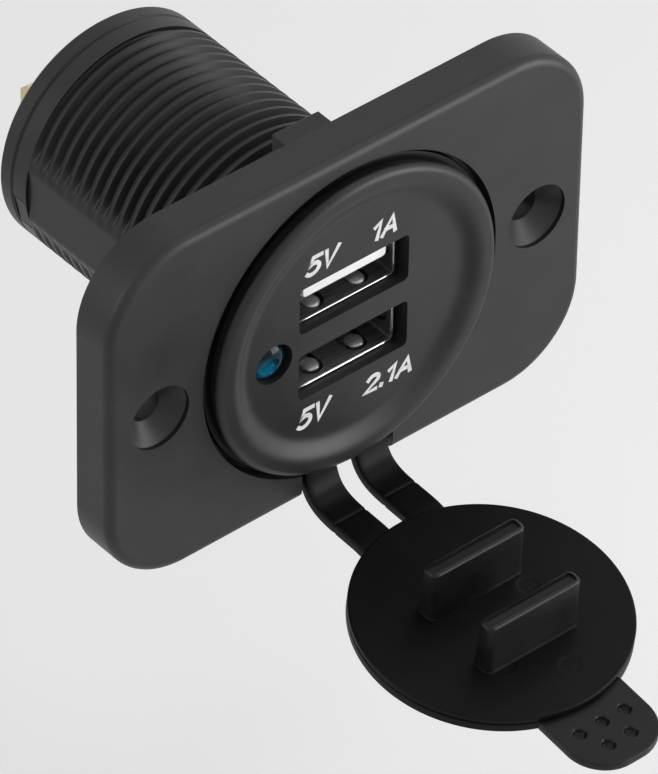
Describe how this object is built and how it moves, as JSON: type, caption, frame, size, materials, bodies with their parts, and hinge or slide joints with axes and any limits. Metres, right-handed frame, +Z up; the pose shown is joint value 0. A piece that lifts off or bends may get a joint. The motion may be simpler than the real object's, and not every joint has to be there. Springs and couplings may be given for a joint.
{
  "type": "car dual usb socket",
  "caption": "Round USB charging socket with stacked ports on a rounded screw plate, with threaded barrel, lock nut and a hinged rubber sealing cap.",
  "frame": {"origin": "centre of the mounting plate's back face, midway between its two screw holes", "axes": "+X to the right and +Z up seen from the front, +Y along the barrel into the panel"},
  "size_m": [0.063, 0.0932, 0.0504],
  "materials": {
    "plate_plastic": "moulded black plastic with a fine satin grain",
    "housing_plastic": "moulded black plastic, satin",
    "soft_rubber": "soft black moulded rubber",
    "plated_steel": "bright nickel plate on folded sheet",
    "white_insulator": "white moulded insulator",
    "contact_gold": "gold flash on sprung strip",
    "board_laminate": "green solder mask",
    "lamp_lens": "clear teal-blue tinted resin",
    "ferrite": "dark sintered ferrite",
    "copper_wire": "enamelled copper wire",
    "capacitor_can": "drawn can, satin",
    "chip_body": "moulded epoxy",
    "terminal_brass": "tinned brass blade"
  },
  "bodies": {
    "socket": {"mounting_plate": "plate_plastic", "socket_housing": "housing_plastic", "rear_end_cap": "housing_plastic", "lock_nut": "housing_plastic", "strap_ring": "soft_rubber", "upper_port_shell": "plated_steel", "lower_port_shell": "plated_steel", "upper_port_tongue": "white_insulator", "lower_port_tongue": "white_insulator", "port_board": "board_laminate", "power_board": "board_laminate", "lamp_lens": "lamp_lens", "lamp_lead_upper": "plated_steel", "lamp_lead_lower": "plated_steel", "inductor_core": "ferrite", "inductor_winding": "copper_wire", "input_capacitor": "capacitor_can", "output_capacitor": "capacitor_can", "regulator_chip": "chip_body", "rectifier_diode": "chip_body", "positive_terminal": "terminal_brass", "negative_terminal": "terminal_brass", "upper_port_contact_1": "contact_gold", "upper_port_contact_2": "contact_gold", "upper_port_contact_3": "contact_gold", "upper_port_contact_4": "contact_gold", "lower_port_contact_1": "contact_gold", "lower_port_contact_2": "contact_gold", "lower_port_contact_3": "contact_gold", "lower_port_contact_4": "contact_gold", "header_pin_1": "terminal_brass", "header_pin_2": "terminal_brass", "header_pin_3": "terminal_brass", "header_pin_4": "terminal_brass"},
    "cap": {"sealing_cap": "soft_rubber"}
  },
  "joints": [
    {"name": "cap_hinge", "type": "hinge", "parent": "socket", "child": "cap", "pos_m": [0, -0.0077, -0.0225], "axis": [-1, 0, 0], "range_deg": [-65, 97], "stiffness_Nm_per_rad": 0.006, "springref_deg": 5.16}
  ]
}
